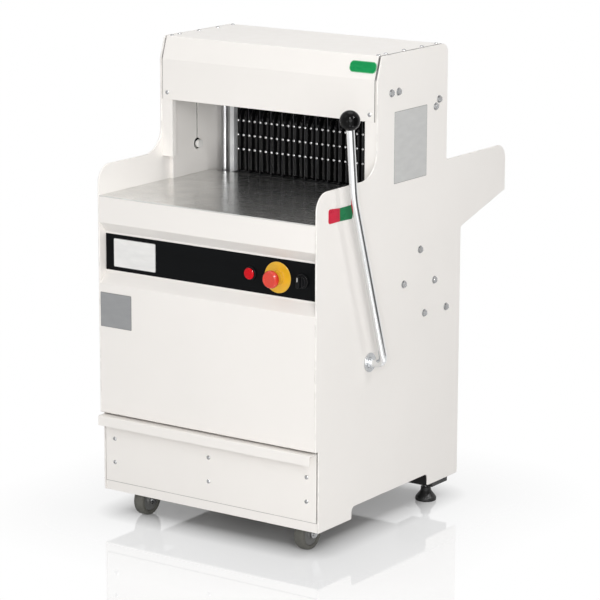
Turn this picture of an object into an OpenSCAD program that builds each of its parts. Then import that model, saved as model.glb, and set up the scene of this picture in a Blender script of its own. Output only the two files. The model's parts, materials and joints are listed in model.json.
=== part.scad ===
// Floor-standing bread slicer with two reciprocating blade frames, a lever-driven
// finger pusher, a crumb drawer, two front casters and two rear levelling feet.
// Millimetres. Every piece is drawn with x = 0 on the cabinet's middle plane, y = 0 on
// the front panel's face and z = 0 on the floor, then placed about the part's origin.

/* [Cabinet] */
// Outer width over the two side panels
body_w = 600; // [598:1:612]
// Height of the hood's top above the floor
body_h = 1096; // [1095:1:1104]
// Depth of the lower cabinet
cabinet_d = 596; // [592:1:604]
// Thickness of the side panels
panel_t = 4; // [3:0.5:5]
// Thickness of the folded covers
sheet_t = 2; // [1.5:0.5:2.5]
// Height of the table above the floor
table_z = 760; // [758:1:766]
// Height of the wings' top edge above the floor
wing_z = 828; // [822:1:836]
// Depth from the front panel to the end of the rear wings
wing_y = 794; // [786:1:804]
// Floor to the underside of the legs
leg_z = 65; // [62:1:68]
// Floor to the arch between the legs
arch_z = 93; // [92:1:96]

/* [Head] */
// Depth from the front of the head to the back of the cabinet
head_back = 361; // [358:1:366]
// Depth of the head
head_d = 293; // [290:1:300]
// Lower edge of the hood above the floor
mouth_z = 951; // [946:1:956]
// Height of the hood's sloped brow
brow_h = 52; // [46:1:58]
// Depth of the hood's sloped brow
brow_d = 17; // [14:1:20]
// Width of the white posts beside the mouth
post_w = 30; // [26:1:34]

/* [Control channel] */
// Depth of the channel behind the front panel
channel_d = 24; // [20:1:26]
// Lower bend of the channel above the floor
channel_z = 557; // [552:1:560]
// Height of the channel from bend to bend
channel_h = 141; // [138:1:144]
// Height of the black control strip
strip_h = 84; // [80:1:88]
// Diameter of the emergency stop head
stop_d = 40; // [36:1:42]

/* [Blades and drive] */
// Number of blades over both frames
blade_count = 28; // [24:2:28]
// Thickness of one slice, from blade to blade
slice = 16; // [14:0.25:16]
// Width of one blade from edge to back
blade_w = 14; // [12:1:15]
// Thickness of one blade
blade_t = 1; // [0.8:0.1:1.2]
// Pitch of the scallops on a blade's edge
scallop = 14; // [12:1:16]
// Throw of the eccentrics, half of the blades' stroke
throw = 20; // [18:1:21]
// Diameter of the guide columns
column_d = 16; // [14:1:16]
// Diameter of the crankshaft
shaft_d = 25; // [22:1:28]
// Groove radius of the large pulley
pulley_r = 82; // [78:1:84]
// Groove radius of the motor pulley
drive_r = 27; // [24:1:30]

/* [Lever and pusher] */
// Diameter of the lever rod
rod_d = 18; // [16:1:20]
// Diameter of the ball knob
knob_d = 45; // [42:1:48]
// Distance of the lever rod from the side panel
stand_off = 40; // [36:1:44]
// Forward lean of the lever's lower run, in degrees
lean = 18; // [17:0.5:19]
// Diameter of the cross shaft
cross_d = 24; // [20:1:26]
// Thickness of one pusher finger
finger_t = 7; // [6:0.5:7.5]

/* [Drawer, casters and feet] */
// Upper edge of the drawer's lip above the floor
lip_z = 248; // [244:1:248]
// Reach of the lip in front of the front panel
lip_out = 16; // [14:1:20]
// Clearance behind the crumb tray
crumb_gap = 76; // [62:1:96]
// Diameter of the caster wheels
wheel_d = 75; // [70:1:76]
// Width of the caster wheels
wheel_w = 26; // [22:1:28]
// Diameter of the levelling pads
pad_d = 50; // [46:1:54]

/* [Hidden] */
$fn = 64;

// Running clearance on a radius, and sliding clearance between flat faces
run = 0.05;
slip = 0.2;

// Cabinet
half_w = body_w / 2;
wall_x = half_w - panel_t;
toe_y = 12;
lip_gap = 4;
split_z = lip_z + lip_gap;
head_y = cabinet_d - head_back;
head_end = head_y + head_d;
brow_z = body_h - brow_h;
front_leg = 145;
rear_leg = cabinet_d - 131;
wing_drop = wing_z - 168;
hood_gap = 3;
pan_t = 3;
pan_z = arch_z + pan_t;
bend_r = 3;
pan_bend_r = 5;

// Axes of the lever and the crankshaft
lever_y = 212;
lever_z = 414;
crank_y = head_y + 210;
crank_z = 530;

// Bolt places on each side panel, as [y, z]
top_shelf_z = body_h - 48;
head_bolts = [for (at = [[56, -38], [85, -38], [256, -76], [242, -91]]) [head_y, top_shelf_z] + at];
drive_bolts = [for (at = [[-27, 106], [-95, 37], [36, 24], [-6, -46], [88, -49]]) [crank_y, crank_z] + at];
bolt_r = 4;
bolt_head_r = 7.5;
bolt_head_h = 5;

// Blade frames: frame a rests at the top of its stroke and frame b at the bottom
plane_gap = 26;
plane_a = crank_y - plane_gap / 2;
plane_b = crank_y + plane_gap / 2;
blade_field = (blade_count - 1) * slice / 2;
frame_x = 234;
column_x = 258;
beam_d = 12;
beam_h = 30;
top_bar_z = body_h - 96;
low_bar_z = 690;
boss_r = column_d / 2 + 4;
boss_h = 40;
low_shelf_z = 640;
shelf_x = 240;
shelf_y = [crank_y - 30, crank_y + 30];
shelf_t = 15;
rod_x_a = 190;
rod_x_b = 150;
rod_t = 12;
rod_drop = 55;
lug_t = 8;
lug_half = 8;
pin_r = 6;
eye_r = 12;
eccentric_r = 38;

// Liners of the mouth
liner_out = 10;
slot_y = plane_a - 72;
slot_low = table_z + 70;

// Belt drive
pulley_x = -223;
pulley_w = 22;
groove_w = 13;
groove_h = 8;
belt_w = 12;
belt_t = 9;
belt_gap = 0.3;
motor_y = lever_y + 123;
motor_r = 65;
motor_shelf_z = 268;
motor_z = motor_shelf_z + 8 + motor_r;
motor_x = [-150, 70];
motor_shaft_r = 9.5;

// Lever and pusher
lever_x = half_w + stand_off;
lever_low = 415;
lever_high = 175;
lever_bend = 12;
elbow_r = 24;
knob_r = knob_d / 2;
knob_bore = 4;
arm_t = 6;
arm_x = wall_x - 11;
arm_half = 18;
arm_reach = 334;
slide_z = table_z - 45;
slide_t = 8;
slide_half = 8;
slide_x = arm_x - 12;
fork_half = 9;
pin_y = lever_y - (slide_z - lever_z) * tan(lean);
finger_z = [table_z + 4, top_bar_z - 70];
finger_y = [plane_a - 12, plane_b + 50];
finger_count = blade_count - 1;
finger_field = (finger_count - 1) * slice / 2;
stud_rows = [table_z + 57, table_z + 91, table_z + 125];
stud_r = 3.5;
stud_l = 6;
tie_y = plane_b + 40;
tie_r = 4;
back_t = 6;
arm_gate = 14;

// Table, bridge and tray
bridge_y = [crank_y - 33, crank_y + 31];
flange_h = 35;
gate_half = 10;

// Controls
strip_t = 1.5;
strip_y = channel_d - strip_t;
control_z = channel_z + channel_h / 2;
lamp_x = 110;
stop_x = 183;
selector_x = 249;
barrel_r = 11;
bezel_r = 16;
collar_r = 17;
collar_y = strip_y - 12;
stop_plate_r = 35;
stop_stem_r = 9;
stop_travel = 6;
stop_back = collar_y - stop_travel - 1.5;

// Zone scale of the lever: the line between its halves, and its height
zone_y = lever_y - 124;
zone_z = table_z - 5;
zone_h = 29;

// Drawer
drawer_y = 14;
drawer_gap = 2;
crumb_x = 280;
crumb_top = 220;
drawer_low = pan_z - 8;

// Casters and feet
caster_x = 226;
caster_y = 102;
trail = 24;
wheel_r = wheel_d / 2;
crown_z = wheel_d + 5;
caster_plate_t = 4;
kingpin_r = 5;
axle_r = 4;
fork_t = 3;
fork_x = wheel_w / 2 + 2;
foot_x = 244;
foot_y = cabinet_d - 48;
foot_low = 52;

// The part's origin: floor level, under the middle of the whole outline
mid_x = (lever_x + knob_r - half_w - bolt_head_h) / 2;
mid_y = (wing_y - lip_out) / 2;

// Unit vector along v
function unit(v) = v / norm(v);

// Points of the arc of radius r that rounds corner q between p and s
function corner_arc(p, q, s, r, n) =
    r == 0 ? [q] :
    let (
        u = unit(p - q),
        w = unit(s - q),
        half = acos(u * w) / 2,
        centre = q + unit(u + w) * r / sin(half),
        a = q + u * r / tan(half) - centre,
        b = q + w * r / tan(half) - centre
    )
    [for (i = [0 : n]) centre + r * unit(a * (n - i) + b * i)];

// Closed outline of [x, y, corner radius] points
function outline(pts, n = 12) =
    let (count = len(pts), flat = [for (p = pts) [p[0], p[1]]])
    [for (i = [0 : count - 1])
        each corner_arc(flat[(i + count - 1) % count], flat[i], flat[(i + 1) % count], pts[i][2], n)];

// Unit vector square to the run from a to b, on its left
function left_of(a, b) = unit([a[1] - b[1], b[0] - a[0]]);

// The path moved sideways by t, with mitred corners
function moved(path, t) =
    let (last = len(path) - 1)
    [for (i = [0 : last])
        let (
            m = left_of(path[max(i - 1, 0)], path[max(i, 1)]),
            n = left_of(path[min(i, last - 1)], path[min(i + 1, last)])
        )
        path[i] + (m + n) * t / (1 + m * n)];

// Closed section of a folded sheet whose outer face runs along path
function folded(path, t = sheet_t) =
    let (inner = moved(path, -t))
    concat(path, [for (i = [len(path) - 1 : -1 : 0]) inner[i]]);

// The open path with its inner corners rounded to radius r
function bent(path, r = bend_r, n = 4) =
    let (last = len(path) - 1)
    concat(
        [path[0]],
        [for (i = [1 : last - 1]) each corner_arc(path[i - 1], path[i], path[i + 1], r, n)],
        [path[last]]
    );

// Moves a piece from the cabinet's own datum to the part's origin
module place() {
    translate([-mid_x, -mid_y, 0]) children();
}

// A piece and its mirror image on the other side of the cabinet
module both_sides() {
    children();
    mirror([1, 0, 0]) children();
}

// Extrudes a [y, z] section from x0 to x1
module along_x(x0, x1) {
    translate([x0, 0, 0]) rotate([90, 0, 90]) linear_extrude(x1 - x0) children();
}

// Round bar across the cabinet at [y, z]
module bar_x(x0, x1, r, at) {
    translate([x0, at[0], at[1]]) rotate([0, 90, 0]) cylinder(r = r, h = x1 - x0);
}

// Round bar from front to back at [x, z]
module bar_y(y0, y1, r, at) {
    translate([at[0], y0, at[1]]) rotate([-90, 0, 0]) cylinder(r = r, h = y1 - y0);
}

// Block between two corners
module block(a, b) {
    translate(a) cube(b - a);
}

// One side panel: two legs, front wing, head and rear wing cut from a single plate
module side_plate() {
    difference() {
        along_x(wall_x, half_w) polygon(outline([
            [toe_y, leg_z, 0],
            [front_leg, leg_z, 4],
            [front_leg, arch_z, 12],
            [rear_leg, arch_z, 12],
            [rear_leg, leg_z, 4],
            [cabinet_d, leg_z, 4],
            [cabinet_d, wing_drop, 8],
            [wing_y, wing_drop + 57, 3],
            [wing_y, wing_z, 36],
            [head_end, wing_z, 6],
            [head_end, body_h, 22],
            [head_y + brow_d, body_h, 6],
            [head_y, brow_z, 8],
            [head_y, wing_z, 60],
            [0, wing_z, 42],
            [0, split_z, 2],
            [toe_y, split_z, 2]
        ]));
        bar_x(wall_x - 1, half_w + 1, 16, [lever_y, lever_z]);
        for (at = concat(head_bolts, drive_bolts))
            bar_x(wall_x - 1, half_w + 1, bolt_r + slip, at);
    }
}

module left_side_panel() {
    color("white") place() mirror([1, 0, 0]) side_plate();
}

module right_side_panel() {
    color("white") place() side_plate();
}

// Hood: one sheet folded over the head, open at both ends
module top_hood() {
    rear_top = corner_arc([head_y, body_h], [head_end, body_h], [head_end, mouth_z], 22, 8);
    path = concat(
        bent([[head_y, mouth_z], [head_y, brow_z], [head_y + brow_d, body_h], [head_y + head_d / 2, body_h]]),
        rear_top,
        [[head_end, mouth_z]]
    );
    color("white") place() along_x(-wall_x + hood_gap, wall_x - hood_gap) polygon(folded(path));
}

// Folded posts beside the mouth, and the angle rails that carry the hood
module head_frame() {
    post_y = head_y + sheet_t;
    post_low = wing_z - 11;
    rail_z = body_h - sheet_t;
    color("white") place() both_sides() {
        block([wall_x - post_w, post_y, post_low], [wall_x, post_y + sheet_t, brow_z]);
        block([wall_x - post_w, post_y + sheet_t, post_low],
            [wall_x - post_w + sheet_t, post_y + 14, brow_z]);
        block([wall_x - sheet_t, post_y + sheet_t, post_low], [wall_x, post_y + 28, brow_z]);
        block([wall_x - 30, head_y + brow_d + 4, rail_z - sheet_t], [wall_x, head_end - 24, rail_z]);
        block([wall_x - sheet_t, head_y + brow_d + 4, rail_z - 30],
            [wall_x, head_end - 24, rail_z - sheet_t]);
    }
}

// Small pan-head screws of the hood and the rear panel
module cover_screws() {
    head_r = 5;
    head_h = 2.5;
    screw_x = wall_x - 17;
    rear_h = table_z - arch_z;
    color("silver") place() both_sides() {
        bar_y(head_y - head_h, head_y, head_r, [screw_x, mouth_z + 16]);
        for (k = [0.09, 0.19, 0.445, 0.7, 0.905])
            translate([wall_x - 12, head_y + k * head_d, body_h]) cylinder(r = head_r, h = head_h);
        for (k = [0.055, 0.46, 0.865])
            bar_y(cabinet_d, cabinet_d + head_h, head_r, [screw_x, arch_z + k * rear_h]);
    }
}

// White liners inside the mouth: a face folded back to the wall at both ends, with a keyhole slot
module wall_liners() {
    front = head_y + sheet_t + 29;
    back = plane_a - 31;
    high = mouth_z + 9;
    face = wall_x - liner_out;
    color("white") place() both_sides() difference() {
        union() {
            block([face, front, table_z], [face + sheet_t, back, high]);
            for (y = [front, back - sheet_t])
                block([face, y, table_z], [wall_x, y + sheet_t, high]);
        }
        block([face - 1, slot_y - 2, slot_low], [face + sheet_t + 1, slot_y + 2, high + 1]);
        bar_x(face - 1, face + sheet_t + 1, 13, [slot_y, slot_low]);
    }
}

// Knobs that stand on the walls, through the keyholes of the liners
module liner_knobs() {
    color("whitesmoke") place() both_sides() {
        bar_x(wall_x - liner_out - 2, wall_x, 6, [slot_y, slot_low]);
        bar_x(wall_x - liner_out - 10, wall_x - liner_out - 2, 9.5, [slot_y, slot_low]);
    }
}

// Upper brackets: a plate on each wall with a shelf over the guide columns
module column_brackets() {
    bracket_t = 6;
    color("silver") place() both_sides() difference() {
        union() {
            along_x(wall_x - bracket_t, wall_x) translate([head_y, top_shelf_z]) polygon(outline([
                [45, -63, 6], [195, -73, 20], [220, -104, 8], [271, -104, 8],
                [271, shelf_t, 8], [165, shelf_t, 8], [45, -18, 8]
            ], 4));
            block([shelf_x, shelf_y[0], top_shelf_z], [wall_x, shelf_y[1], top_shelf_z + shelf_t]);
        }
        for (at = head_bolts)
            bar_x(wall_x - bracket_t - 1, wall_x + 1, bolt_r, at);
    }
}

module guide_columns() {
    color("silver") place() both_sides() for (y = [plane_a, plane_b])
        translate([column_x, y, low_shelf_z]) cylinder(r = column_d / 2, h = top_shelf_z - low_shelf_z);
}

// Lower brackets: bearing boss of the crankshaft and a shelf under the columns
module drive_brackets() {
    bracket_t = 8;
    boss_l = 14;
    color("dimgray") place() both_sides() difference() {
        union() {
            along_x(wall_x - bracket_t, wall_x) translate([crank_y, crank_z]) polygon(outline([
                [-119, 36, 18], [-47, 126, 12], [39, 126, 12], [60, 40, 14],
                [111, -30, 14], [111, -70, 14], [-21, -70, 14]
            ], 4));
            bar_x(wall_x - bracket_t - boss_l, wall_x, shaft_d / 2 + 16, [crank_y, crank_z]);
            block([shelf_x, shelf_y[0], low_shelf_z - shelf_t], [wall_x, shelf_y[1], low_shelf_z]);
        }
        bar_x(wall_x - bracket_t - boss_l - 1, wall_x + 1, shaft_d / 2 + run, [crank_y, crank_z]);
        for (at = drive_bolts)
            bar_x(wall_x - bracket_t - 1, wall_x + 1, bolt_r, at);
    }
}

// Hexagon bolts of both sides, threaded into the brackets behind
module side_bolts() {
    color("silver") place() both_sides() for (at = concat(head_bolts, drive_bolts)) {
        bar_x(wall_x, half_w, bolt_r, at);
        translate([half_w, at[0], at[1]]) rotate([0, 90, 0])
            cylinder(r = bolt_head_r, h = bolt_head_h, $fn = 6);
    }
}

// Front panel: service face, bevelled control channel and apron in one folded sheet
module front_panel() {
    upper = channel_z + channel_h;
    path = [
        [toe_y, split_z], [0, split_z], [0, channel_z],
        [channel_d, channel_z + channel_d], [channel_d, upper - channel_d],
        [0, upper], [0, table_z - sheet_t], [30, table_z - sheet_t]
    ];
    color("white") place() difference() {
        along_x(-wall_x, wall_x) polygon(folded(bent(path)));
        for (x = [lamp_x, stop_x, selector_x])
            bar_y(channel_d - 1, channel_d + sheet_t + 1, barrel_r + slip, [x, control_z]);
    }
}

module control_strip() {
    strip_x = [1 - wall_x, wall_x - 14];
    color("black") place() difference() {
        block([strip_x[0], strip_y, control_z - strip_h / 2],
            [strip_x[1], channel_d, control_z + strip_h / 2]);
        for (x = [lamp_x, stop_x, selector_x])
            bar_y(strip_y - 1, channel_d + 1, barrel_r + slip, [x, control_z]);
    }
}

// Bare plates: white badge on the strip, rating plate on the front, notice on the side
module bare_plates() {
    plate_t = 0.8;
    badge = [119, 66];
    rating = [88, 80];
    notice = [142, 162];
    badge_x = 28 - half_w;
    rating_x = 6 - half_w;
    notice_y = head_y + 66;
    color("gainsboro") place() {
        block([badge_x, strip_y - plate_t, control_z - badge[1] / 2],
            [badge_x + badge[0], strip_y, control_z + badge[1] / 2]);
        block([rating_x, -plate_t, channel_z - 20 - rating[1]], [rating_x + rating[0], 0, channel_z - 20]);
        block([half_w, notice_y, wing_z - 24],
            [half_w + plate_t, notice_y + notice[0], wing_z - 24 + notice[1]]);
    }
}

// Green plates: a blank one on the brow and the rear half of the lever's zone scale
module green_plates() {
    plate_t = 0.8;
    plate = [70, 26];
    color("green") place() {
        translate([wall_x - 40, head_y + brow_d / 2, brow_z + brow_h / 2])
            rotate([atan2(brow_h, brow_d), 0, 0]) linear_extrude(plate_t)
                polygon(outline([for (k = [[-1, -1], [1, -1], [1, 1], [-1, 1]])
                    [k[0] * plate[0] / 2, k[1] * plate[1] / 2, 10]], 5));
        along_x(half_w, half_w + plate_t) translate([zone_y, zone_z])
            polygon(outline([[0, 0, 0], [50, -2, 5], [48, zone_h, 5], [0, zone_h, 0]], 4));
    }
}

// Front half of the lever's zone scale
module red_zone_plate() {
    color("red") place() along_x(half_w, half_w + 0.8) translate([zone_y, zone_z])
        polygon(outline([[-43, 0, 6], [0, 0, 0], [0, zone_h, 0], [-43, zone_h + 4, 6]], 4));
}

// Black bezels with their barrels: pilot lamp and selector
module control_bezels() {
    color("black") place() {
        difference() {
            bar_y(strip_y - 4, strip_y, bezel_r - 1, [lamp_x, control_z]);
            bar_y(strip_y - 5, strip_y + 1, barrel_r, [lamp_x, control_z]);
        }
        bar_y(strip_y, channel_d + 38, barrel_r, [lamp_x, control_z]);
        bar_y(strip_y - 6, strip_y, bezel_r, [selector_x, control_z]);
        bar_y(strip_y, channel_d + 38, barrel_r, [selector_x, control_z]);
    }
}

// Red lens of the pilot lamp, with a low dome
module lamp_lens() {
    dome = 30;
    color("red") place() intersection() {
        bar_y(strip_y - 11, strip_y, barrel_r - slip, [lamp_x, control_z]);
        translate([lamp_x, strip_y - 10 + dome, control_z]) sphere(r = dome);
    }
}

// Yellow plate and collar of the emergency stop, bored for the head's stem
module stop_collar() {
    color("gold") place() difference() {
        union() {
            bar_y(strip_y - 1.5, strip_y, stop_plate_r, [stop_x, control_z]);
            bar_y(collar_y, strip_y, collar_r, [stop_x, control_z]);
            bar_y(strip_y, channel_d + 38, barrel_r, [stop_x, control_z]);
        }
        bar_y(collar_y - 1, strip_y + 14, stop_stem_r + run, [stop_x, control_z]);
    }
}

// Stainless table in front of the blades
module front_table() {
    path = [[0, table_z], [bridge_y[0], table_z], [bridge_y[0], table_z - flange_h]];
    color("silver") place() along_x(-wall_x, wall_x) polygon(folded(bent(path)));
}

// Slotted bridge that the blades pass through, level with the table
module blade_bridge() {
    bridge_x = blade_field + 10;
    bridge_t = 8;
    slot_half = 2;
    color("dimgray") place() difference() {
        block([-bridge_x, bridge_y[0], table_z - bridge_t], [bridge_x, bridge_y[1], table_z]);
        for (i = [0 : blade_count - 1])
            block([i * slice - blade_field - slot_half, plane_a - 12, table_z - bridge_t - 1],
                [i * slice - blade_field + slot_half, plane_b + 12, table_z + 1]);
    }
}

// Rear tray between the wings, with a gate on each side for the pusher's arms
module rear_tray() {
    tray_end = wing_y - 34;
    path = [
        [bridge_y[1], table_z - flange_h], [bridge_y[1], table_z],
        [tray_end, table_z], [tray_end, table_z - 22]
    ];
    color("silver") place() difference() {
        along_x(-wall_x, wall_x) polygon(folded(bent(path)));
        both_sides() block([slide_x + slide_t / 2 - gate_half, bridge_y[1] - 1, table_z - flange_h - 1],
            [slide_x + slide_t / 2 + gate_half, finger_y[1] + 244, table_z + 1]);
    }
}

// Rear cover with a notch in each upper corner for the pusher's bars
module rear_panel() {
    top = table_z - sheet_t;
    path = [[cabinet_d - 16, top], [cabinet_d, top], [cabinet_d, arch_z]];
    color("white") place() difference() {
        along_x(-wall_x, wall_x) polygon(folded(bent(path)));
        both_sides() block([slide_x - gate_half, cabinet_d - 17, slide_z - slide_half - 12],
            [wall_x + 1, cabinet_d + 1, top + 1]);
    }
}

// Floor of the cabinet, folded down behind the drawer front
module base_pan() {
    front = drawer_y + slip;
    path = [[front, leg_z], [front, pan_z], [cabinet_d - sheet_t, pan_z]];
    color("white") place() along_x(-wall_x, wall_x) polygon(folded(bent(path, pan_bend_r), pan_t));
}

// Cross member that carries the motor above the drawer
module motor_shelf() {
    shelf = [motor_y - 85, motor_y + 95];
    path = [
        [shelf[0], motor_shelf_z - 22], [shelf[0], motor_shelf_z],
        [shelf[1], motor_shelf_z], [shelf[1], motor_shelf_z - 22]
    ];
    color("lightgray") place() along_x(-wall_x, wall_x) polygon(folded(bent(path, pan_bend_r), pan_t));
}

// Motor housing with feet, end bells, cooling fins and terminal box
module motor_body() {
    at = [motor_y, motor_z];
    fin_r = motor_r - 4;
    foot_x0 = motor_x[0] + 40;
    foot_x1 = motor_x[1] - 50;
    color("slategray") place() difference() {
        union() {
            bar_x(motor_x[0], motor_x[1], fin_r - 3, at);
            bar_x(motor_x[0], motor_x[0] + 22, motor_r, at);
            bar_x(motor_x[1] - 45, motor_x[1], motor_r, at);
            for (a = [20 : 10 : 160])
                translate([0, at[0], at[1]]) rotate([a - 90, 0, 0])
                    block([motor_x[0] + 20, -1.2, fin_r - 8], [motor_x[1] - 44, 1.2, fin_r + 3]);
            block([foot_x0, motor_y - 50, motor_shelf_z], [foot_x1, motor_y + 50, motor_shelf_z + 24]);
            block([foot_x0 + 10, motor_y - 35, motor_z + fin_r - 10],
                [foot_x1 - 20, motor_y + 35, motor_z + motor_r + 30]);
        }
        bar_x(motor_x[0] - 1, motor_x[0] + 30, motor_shaft_r + run, at);
    }
}

// Closed V-belt around both pulleys
module drive_belt() {
    color("black") place() along_x(pulley_x - belt_w / 2, pulley_x + belt_w / 2) difference() {
        hull() {
            translate([crank_y, crank_z]) circle(r = pulley_r + belt_gap + belt_t);
            translate([motor_y, motor_z]) circle(r = drive_r + belt_gap + belt_t);
        }
        hull() {
            translate([crank_y, crank_z]) circle(r = pulley_r + belt_gap);
            translate([motor_y, motor_z]) circle(r = drive_r + belt_gap);
        }
    }
}

// Flanged bushes of the cross shaft in the side panels
module lever_bushes() {
    color("dimgray") place() both_sides() difference() {
        union() {
            bar_x(wall_x - 4, half_w, 15.9, [lever_y, lever_z]);
            bar_x(half_w, half_w + 3, 22, [lever_y, lever_z]);
        }
        bar_x(wall_x - 5, half_w + 4, cross_d / 2 + run, [lever_y, lever_z]);
    }
}

// Stepped plastic guides under the pusher's bars
module bar_guides() {
    guide_l = 20;
    low = slide_z - slide_half;
    color("whitesmoke") place() both_sides() for (y = [crank_y - 77, crank_y]) {
        block([slide_x, y, low - 14], [wall_x, y + guide_l, low - slip]);
        block([slide_x + slide_t + slip, y, low - slip], [wall_x, y + guide_l, slide_z + slide_half - 2]);
    }
}

// Black blocks under the rear corners that take the feet
module foot_brackets() {
    color("black") place() both_sides() difference() {
        block([foot_x - 44, foot_y - 53, foot_low], [wall_x - 2, foot_y + 14, arch_z]);
        translate([foot_x, foot_y, foot_low - 1]) cylinder(r = 7.1, h = 36);
    }
}

// Threaded stems with their lock nuts
module foot_stems() {
    color("silver") place() both_sides() translate([foot_x, foot_y, 0]) {
        translate([0, 0, 34]) cylinder(r = 7, h = 52);
        difference() {
            translate([0, 0, foot_low - 9]) cylinder(r = 12, h = 9, $fn = 6);
            translate([0, 0, foot_low - 10]) cylinder(r = 7, h = 11);
        }
    }
}

// Conical rubber pads
module foot_pads() {
    color("black") place() both_sides() translate([foot_x, foot_y, 0]) {
        cylinder(r = pad_d / 2, h = 8);
        translate([0, 0, 8]) cylinder(r1 = pad_d / 2, r2 = 12, h = 18);
        translate([0, 0, 26]) cylinder(r = 12, h = 8);
    }
}

// Caster top plates with their kingpins
module caster_plates() {
    color("silver") place() both_sides() translate([caster_x, caster_y, 0]) {
        block([-40, -35, arch_z - caster_plate_t], [40, 35, arch_z]);
        translate([0, 0, crown_z - 2]) cylinder(r = kingpin_r, h = arch_z - caster_plate_t - crown_z + 2);
        translate([0, 0, crown_z - 5]) cylinder(r = kingpin_r + 3, h = 3);
    }
}

// Mushroom head of the emergency stop on its stem
module stop_head() {
    r = stop_d / 2;
    color("red") place() translate([stop_x, stop_back, control_z]) rotate([90, 0, 0]) union() {
        rotate_extrude() polygon(outline([
            [0, 0, 0], [r - 3, 0, 1], [r, 5, 2], [r - 3, 13, 5], [0, 15, 0]
        ], 5));
        translate([0, 0, -16]) cylinder(r = stop_stem_r, h = 16);
    }
}

// Selector knob with a raised grip bar
module selector_knob() {
    knob_y = strip_y - 6 - slip;
    r = bezel_r - 3;
    color("black") place() {
        bar_y(knob_y - 4, knob_y, r, [selector_x, control_z]);
        intersection() {
            bar_y(knob_y - 16, knob_y - 4, r, [selector_x, control_z]);
            block([selector_x - 4, knob_y - 17, control_z - r - 1],
                [selector_x + 4, knob_y - 3, control_z + r + 1]);
        }
    }
}

// Lever rod: stub from the cross shaft, elbow, leaning run and upright hand run, mitred at the bend
module lever_rod() {
    r = rod_d / 2;
    stub = half_w + 6;
    color("silver") place() translate([0, lever_y, lever_z]) rotate([lean, 0, 0]) {
        translate([stub, 0, 0]) rotate([0, 90, 0]) cylinder(r = r, h = lever_x - elbow_r - stub);
        translate([lever_x - elbow_r, 0, elbow_r]) rotate([90, 0, 0]) rotate([0, 0, -90])
            rotate_extrude(angle = 90) translate([elbow_r, 0]) circle(r = r);
        translate([lever_x, 0, lever_low]) {
            difference() {
                translate([0, 0, elbow_r - lever_low]) cylinder(r = r, h = lever_low - elbow_r + rod_d);
                rotate([-lever_bend / 2, 0, 0]) translate([-rod_d, -rod_d, 0]) cube(2 * rod_d);
            }
            difference() {
                rotate([-lever_bend, 0, 0]) translate([0, 0, -rod_d])
                    cylinder(r = r, h = lever_high - knob_r + knob_bore + rod_d);
                rotate([-lever_bend / 2, 0, 0]) translate([-rod_d, -rod_d, -2 * rod_d]) cube(2 * rod_d);
            }
        }
    }
}

// Ball knob, bored for the end of the rod
module lever_knob() {
    color("black") place() translate([0, lever_y, lever_z]) rotate([lean, 0, 0])
        translate([lever_x, 0, lever_low]) rotate([-lever_bend, 0, 0]) difference() {
            translate([0, 0, lever_high]) sphere(r = knob_r);
            translate([0, 0, lever_high - knob_r - 5]) cylinder(r = rod_d / 2, h = knob_bore + 5);
        }
}

module cross_shaft() {
    color("silver") place() bar_x(-half_w, half_w + 6, cross_d / 2, [lever_y, lever_z]);
}

// Forked arms on the cross shaft that carry the pusher's pins
module lever_arms() {
    color("silver") place() both_sides() along_x(arm_x, arm_x + arm_t) translate([lever_y, lever_z])
        rotate(lean) difference() {
            union() {
                circle(r = cross_d / 2 + 12);
                translate([-arm_half, 0]) square([2 * arm_half, arm_reach]);
            }
            circle(r = cross_d / 2 + run);
            translate([-fork_half, arm_reach - 52]) square([2 * fork_half, 60]);
            translate([0, arm_reach - 52]) circle(r = fork_half);
        }
}

// Black fingers between the blades, bored for three tie rods
module pusher_fingers() {
    color("black") place() for (i = [0 : finger_count - 1])
        translate([i * slice - finger_field, 0, 0]) along_x(-finger_t / 2, finger_t / 2) difference() {
            polygon(outline([
                [finger_y[0], finger_z[0], 3], [finger_y[1], finger_z[0], 0],
                [finger_y[1], finger_z[1], 0], [finger_y[0] + 30, finger_z[1], 24],
                [finger_y[0], stud_rows[2] + 14, 18]
            ], 4));
            for (z = stud_rows)
                translate([tie_y, z]) circle(r = tie_r);
        }
}

// Bright studs in rows on the fingers' front edges
module finger_studs() {
    color("silver") place() for (i = [0 : finger_count - 1], z = stud_rows)
        bar_y(finger_y[0] - stud_l, finger_y[0], stud_r, [i * slice - finger_field, z]);
}

// Back plate of the pusher, its arms through the tray and the tie rods
module pusher_frame() {
    back_x = finger_field + finger_t / 2 + 4;
    reach = slide_x + slide_t;
    color("silver") place() {
        translate([0, finger_y[1] + back_t, 0]) rotate([90, 0, 0]) linear_extrude(back_t) polygon(outline([
            [-reach, finger_z[0], 0], [reach, finger_z[0], 0], [reach, finger_z[0] + 30, 6],
            [back_x, finger_z[0] + 44, 20], [back_x, finger_z[1], 10], [-back_x, finger_z[1], 10],
            [-back_x, finger_z[0] + 44, 20], [-reach, finger_z[0] + 30, 6]
        ], 5));
        both_sides() block([slide_x, finger_y[1], slide_z + slide_half],
            [reach, finger_y[1] + arm_gate, finger_z[0]]);
        for (z = stud_rows)
            bar_x(-back_x, back_x, tie_r, [tie_y, z]);
    }
}

// Sliding bars of the pusher, each with a pin for the lever's fork
module pusher_bars() {
    color("silver") place() both_sides() {
        block([slide_x, pin_y - 30, slide_z - slide_half],
            [slide_x + slide_t, finger_y[1] + arm_gate, slide_z + slide_half]);
        bar_x(slide_x + slide_t, arm_x + arm_t + 1, pin_r, [pin_y, slide_z]);
    }
}

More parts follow.
